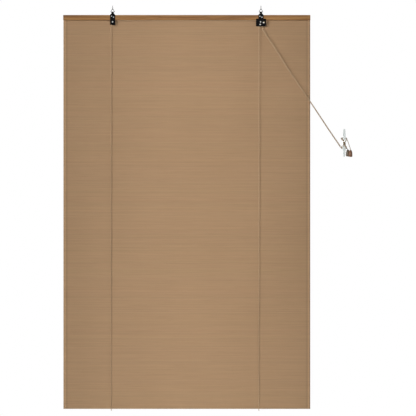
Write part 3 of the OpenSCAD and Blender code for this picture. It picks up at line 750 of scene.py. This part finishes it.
TASSEL_PROFILE = [
    (1.5, 11.0), (3.55, 10.9), (3.6, 0.4), (4.1, 0.0), (6.2, 0.0), (7.1, 0.45), (7.65, 1.3), (7.78, 2.4),
    (7.76, 4.0), (7.5, 4.3), (7.5, 4.8), (7.75, 5.1), (7.78, 8.0), (7.78, 11.4), (7.64, 14.8),
    (7.18, 17.85), (6.72, 19.9), (6.38, 20.7), (6.1, 20.9), (6.05, 21.4), (6.15, 21.7), (5.9, 22.4),
    (5.33, 23.95), (4.68, 25.45), (4.1, 26.6), (3.7, 27.5), (3.1, 27.95), (1.9, 28.0), (1.5, 27.8),
]
for side, at in (("left", LEFT_TASSEL), ("right", RIGHT_TASSEL)):
    turned = lathe(
        f"{side}_tassel_turned", [(r * MM, z * MM) for r, z in TASSEL_PROFILE], at - TASSEL_L * Z,
        f"tassel_{side}", "fixings",
    )
    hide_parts(f"{side}_tassel")


# Screw hooks: a thread on the screw, then the wire bends into an open curl

HOOK_R = 0.0011
HOOK_SIDES = 16
HOOK_STEP = 0.00018
CURL_R = 0.0041
CURL_TOP = -0.001
NECK_FROM, NECK_TO = 0.0022, 0.0008
SCREW_TOP = 0.0075
SCREW_END = 0.0004
SCREW_PITCH = 0.0011
CREST_R = 0.0012
ROOT_R = 0.00085
RIDGE_STEEP, RIDGE_SINK = 1.6, 0.3
POINT_L = 0.0025
POINT_TIP = 0.15
for side, x in (("left", LEFT_X), ("right", RIGHT_X)):
    curl = arc((x, 0, CURL_TOP - CURL_R), CURL_R, 80, -200, 24, Y, Z)
    line = [*(np.array([x, 0, z]) for z in (SCREW_TOP, NECK_FROM, NECK_TO)), *curl]
    path = smooth_path(line, HOOK_STEP, hold=0.001, long=0.02)
    down = SCREW_TOP - path[:, 2]
    down[np.argmax(down > SCREW_TOP):] = 1.0
    turn = np.linspace(0, 1, HOOK_SIDES, endpoint=False)[None, :] + down[:, None] / SCREW_PITCH
    ridge = 1 - np.abs(2 * (turn % 1) - 1)
    threaded = ROOT_R + (CREST_R - ROOT_R) * np.clip(RIDGE_STEEP * ridge - RIDGE_SINK, 0, 1)
    threaded *= np.clip(POINT_TIP + (1 - POINT_TIP) * down / POINT_L, 0, 1)[:, None]
    radii = np.where((down < SCREW_TOP - SCREW_END)[:, None], threaded, HOOK_R)
    hook = wire(f"{side}_hook_wire", path, radii, "hook_steel", "fixings", HOOK_SIDES)
    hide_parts(f"{side}_hook")


# Overhand knots in the cords' ends

KNOT_TURNS = np.linspace(0, 2 * math.pi, 97)[:-1]
KNOT_R = 0.00098
KNOT_SIDES = 10
KNOT_D = 0.0056
KNOT_RISE = math.sqrt(KNOT_D ** 2 / 4 - CORD_R ** 2)
END_KNOT = 0.00058
REAR_KNOT = 0.0005


def knot_points(scale, at, lie):
    """A closed overhand knot about a point, flat across one direction."""
    ring = 2 + np.cos(3 * KNOT_TURNS)
    flat = np.stack(
        [ring * np.cos(2 * KNOT_TURNS), ring * np.sin(2 * KNOT_TURNS), np.sin(3 * KNOT_TURNS)], axis=1,
    )
    order = (0, 2, 1) if lie == "Y" else (0, 1, 2)
    return np.asarray(at) + scale * flat[:, order]


def end_knot(tassel):
    """The knot inside a tassel, just under the cord's end."""
    return knot_points(END_KNOT, tassel - (TASSEL_CORD_L + KNOT_RISE) * Z, "Z")


def rear_knot(x):
    """The knot on the rear batten, just above the cord's start."""
    return knot_points(REAR_KNOT, (x, anchor_y, anchor_z + KNOT_RISE), "Y")


KNOTS = {
    "left_end_knot": (end_knot(LEFT_TASSEL), "fixings"),
    "right_end_knot": (end_knot(RIGHT_TASSEL), "fixings"),
    "left_rear_knot": (rear_knot(left_strand_x), "blind"),
    "right_rear_knot": (rear_knot(right_strand_x), "blind"),
}
KNOT_STANDS_FOR = {"left_end_knot": "tassel_knots", "left_rear_knot": "cord_knots"}
KNOT_TONES = {"fixings": np.array(PULL_COLOUR) * TOWARD_CLEAT_TONE, "blind": np.array(CORD_COLOUR)}
for name, (loop, body) in KNOTS.items():
    path = np.concatenate([loop, loop[:2]])
    wire(name, path, KNOT_R, "cord", body, KNOT_SIDES, KNOT_TONES[body])
    if name in KNOT_STANDS_FOR:
        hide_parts(KNOT_STANDS_FOR[name])
for side in ("left", "right"):
    pull, pull_path, route = pulls[f"{side}_pull_cord"]


# Plates with eased edges, cleat with rounded ones

PLATE_EASE = 0.00018
CLEAT_VOXEL = 0.0007
CLEAT_PASSES = 10
for plate in ("left_hanger", "lock_front_plate", "lock_rear_plate"):
    eased(plate, "black_steel", "blind", PLATE_EASE)
rounded("cleat", "cleat_plastic", "fixings", CLEAT_VOXEL, CLEAT_PASSES)


# The CAD nodes that stay, with their looks

STAYS = {
    "hook_steel": ("left_ring", "right_ring"),
    "rail_wood": ("headrail", "rear_batten", "bottom_slat"),
    "rivet_steel": ("left_axle", "left_axle_bush", "sheave_axle", "lock_spacer", "lock_pin"),
    "screw_steel": ("left_hanger_screws", "lock_screws"),
    "nail_steel": ("batten_nails", "cord_staples"),
    "sheave_plastic": ("left_sheave", "front_sheave", "rear_sheave"),
    "roller_brass": ("lock_roller",),
}
for look, names in STAYS.items():
    for name in names:
        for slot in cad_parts[name].material_slots:
            slot.material = LOOKS[look]


# Floor, light and world

FLOOR_Z = -2.3
FLOOR_HALF = 6.0
FLOOR_BACK = 4.0
AMBIENT = 0.12
floor_mesh = bpy.data.meshes.new("floor")
floor_mesh.from_pydata(
    [
        (-FLOOR_HALF, -FLOOR_HALF, FLOOR_Z), (FLOOR_HALF, -FLOOR_HALF, FLOOR_Z),
        (FLOOR_HALF, FLOOR_BACK, FLOOR_Z), (-FLOOR_HALF, FLOOR_BACK, FLOOR_Z),
    ], [], [(0, 1, 2, 3)],
)
floor_look, _, floor_shader = material("floor_look")
floor_shader.inputs["Base Color"].default_value = (0.35, 0.35, 0.35, 1)
floor_shader.inputs["Emission Color"].default_value = (1, 1, 1, 1)
floor_shader.inputs["Emission Strength"].default_value = 0.55
floor_shader.inputs["Roughness"].default_value = 0.9
floor_mesh.materials.append(floor_look)
floor = bpy.data.objects.new("floor", floor_mesh)
scene.collection.objects.link(floor)


def lamp(name, at, towards, size, power, spread_deg=180.0):
    """A soft rectangular lamp that the camera doesn't see."""
    data = bpy.data.lights.new(name, "AREA")
    data.shape = "RECTANGLE"
    data.size, data.size_y = size
    data.energy = power
    data.spread = math.radians(spread_deg)
    ob = bpy.data.objects.new(name, data)
    ob.location = at
    ob.rotation_mode = "QUATERNION"
    ob.rotation_quaternion = (Vector(towards) - Vector(at)).to_track_quat("-Z", "Y")
    ob.visible_camera = False
    scene.collection.objects.link(ob)


lamp(
    "strip", at=(0.08, -2.4, -0.83), towards=(0.08, 0.0, -0.83), size=(0.30, 3.4), power=2.95,
    spread_deg=39.0,
)
lamp("key", at=(-4.4, -4.9, 0.9), towards=(0.0, 0.0, -0.8), size=(0.7, 0.7), power=206.0)
lamp("back", at=(0.4, 2.6, -0.3), towards=(0.0, 0.0, -0.8), size=(1.6, 1.6), power=55.0)

# The world is white where it is seen or mirrored, and dim as a light
world = bpy.data.worlds.new("studio")
world.use_nodes = True
scene.world = world
tree = world.node_tree
tree.nodes.clear()
rays = add(tree, "ShaderNodeLightPath")
seen = rays.outputs["Is Camera Ray"]
for ray in ("Is Glossy Ray", "Is Transmission Ray"):
    either = add(tree, "ShaderNodeMath", operation="MAXIMUM")
    tree.links.new(seen, either.inputs[0])
    tree.links.new(rays.outputs[ray], either.inputs[1])
    seen = either.outputs[0]
soft = add(tree, "ShaderNodeBackground", Color=(1, 1, 1, 1), Strength=AMBIENT)
white = add(tree, "ShaderNodeBackground", Color=(1, 1, 1, 1), Strength=1.0)
choice = add(tree, "ShaderNodeMixShader")
out = add(tree, "ShaderNodeOutputWorld")
tree.links.new(seen, choice.inputs[0])
tree.links.new(soft.outputs[0], choice.inputs[1])
tree.links.new(white.outputs[0], choice.inputs[2])
tree.links.new(choice.outputs[0], out.inputs["Surface"])

scene.view_settings.view_transform = "Standard"
